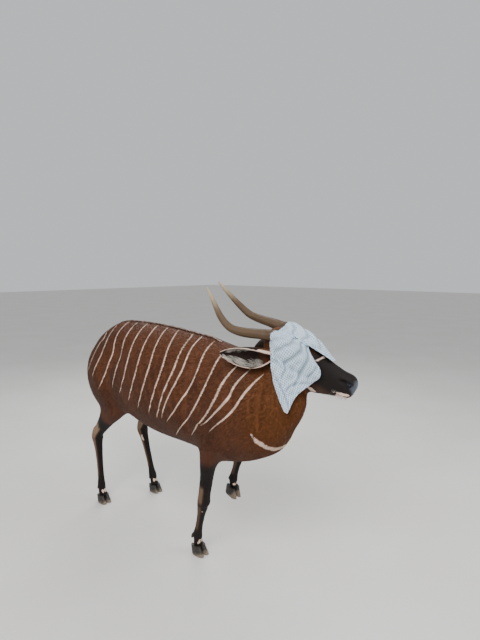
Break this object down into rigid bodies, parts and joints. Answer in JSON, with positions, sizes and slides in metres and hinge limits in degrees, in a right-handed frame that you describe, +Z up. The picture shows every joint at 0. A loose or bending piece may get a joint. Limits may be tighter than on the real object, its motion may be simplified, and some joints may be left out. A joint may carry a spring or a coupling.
{
  "type": "bongo antelope model",
  "caption": "Life-size bongo antelope that stands with its left forefoot lifted and its head low, with lyre-shaped horns and a checked cloth over its eyes.",
  "frame": {"origin": "middle of the model's length and width, on the floor under the soles", "axes": "+X the way the trunk points, +Y the animal's left, +Z up"},
  "size_m": [1.8528, 0.5076, 1.4831],
  "materials": {
    "coat": "short chestnut fur with cream stripes",
    "face": "short dark fur, cream at the lips and jaw",
    "leg": "short dark fur with pale and tan patches",
    "horn": "smooth grey-brown horn with pale tips",
    "hoof": "dark satin horn",
    "eye": "wet dark gloss",
    "cloth": "thin light blue and white check"
  },
  "bodies": {
    "root": {"torso": "coat", "neck": "coat", "head": "face", "head_cloth": "cloth", "horn_left": "horn", "horn_right": "horn", "eye_left": "eye", "eye_right": "eye", "ear_left": "coat", "ear_right": "coat", "foreleg_left": "leg", "foreleg_right": "leg", "hindleg_left": "leg", "hindleg_right": "leg", "tail": "coat", "hoof_fore_left_claw_left": "hoof", "hoof_fore_left_claw_right": "hoof", "hoof_fore_left_dewclaw_left": "hoof", "hoof_fore_left_dewclaw_right": "hoof", "hoof_fore_right_claw_left": "hoof", "hoof_fore_right_claw_right": "hoof", "hoof_fore_right_dewclaw_left": "hoof", "hoof_fore_right_dewclaw_right": "hoof", "hoof_hind_left_claw_left": "hoof", "hoof_hind_left_claw_right": "hoof", "hoof_hind_left_dewclaw_left": "hoof", "hoof_hind_left_dewclaw_right": "hoof", "hoof_hind_right_claw_left": "hoof", "hoof_hind_right_claw_right": "hoof", "hoof_hind_right_dewclaw_left": "hoof", "hoof_hind_right_dewclaw_right": "hoof"}
  },
  "joints": []
}
